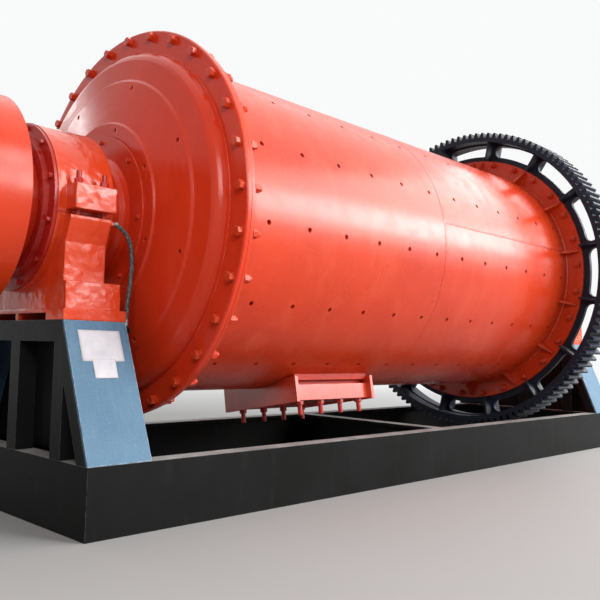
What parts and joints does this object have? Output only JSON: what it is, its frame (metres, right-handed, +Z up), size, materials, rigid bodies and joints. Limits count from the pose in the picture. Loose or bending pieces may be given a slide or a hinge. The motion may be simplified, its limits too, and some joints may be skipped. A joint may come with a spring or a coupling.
{
  "type": "ball mill",
  "caption": "Horizontal grinding drum with bolted end heads, girth gear, drum feeder and trunnion bearings on pedestals over a welded channel base.",
  "frame": {"origin": "centre of the machine's footprint box at floor level", "axes": "+X along the mill axis from the feed end to the girth gear end, +Z up, +Y to the back"},
  "size_m": [5.431, 2.144, 2.319],
  "materials": {
    "mill_red": "glossy orange-red enamel",
    "mill_dark_red": "glossy red enamel",
    "gear_black": "semi-gloss black enamel, blue cast",
    "base_black": "satin black enamel with worn edges",
    "side_plate_blue": "satin blue-grey enamel",
    "bush_bronze": "oiled bearing metal",
    "hose_rubber": "braided black hose"
  },
  "bodies": {
    "base": {"base_beam_near": "base_black", "base_beam_far": "base_black", "base_end_feed": "base_black", "base_end_discharge": "base_black", "base_crossbeams": "base_black", "feed_pedestal_frame": "base_black", "feed_plate_near": "side_plate_blue", "feed_plate_far": "side_plate_blue", "discharge_pedestal_frame": "base_black", "discharge_plate_near": "side_plate_blue", "discharge_plate_far": "side_plate_blue", "feed_bearing_housing": "mill_red", "feed_bearing_cap": "mill_red", "feed_bearing_bush": "bush_bronze", "feed_bearing_cover": "mill_dark_red", "discharge_bearing_housing": "mill_red", "discharge_bearing_cap": "mill_red", "discharge_bearing_bush": "bush_bronze", "discharge_bearing_cover": "mill_dark_red", "lube_hose": "hose_rubber"},
    "mill": {"shell_course_feed": "mill_red", "shell_course_discharge": "mill_red", "feed_shell_flange": "mill_red", "discharge_shell_flange": "mill_red", "feed_head": "mill_red", "discharge_head": "mill_red", "feed_trunnion": "mill_dark_red", "discharge_trunnion": "mill_dark_red", "gear_rim": "gear_black", "gear_web": "gear_black", "manhole_frame": "mill_dark_red", "manhole_cover": "mill_red", "manhole_bolts": "mill_dark_red", "drum_feeder": "mill_red", "feeder_neck": "mill_dark_red", "discharge_spout": "mill_dark_red"}
  },
  "joints": [
    {"name": "mill_rotation", "type": "hinge", "parent": "base", "child": "mill", "pos_m": [0, 0, 1.247], "axis": [1, 0, 0], "continuous": true}
  ]
}
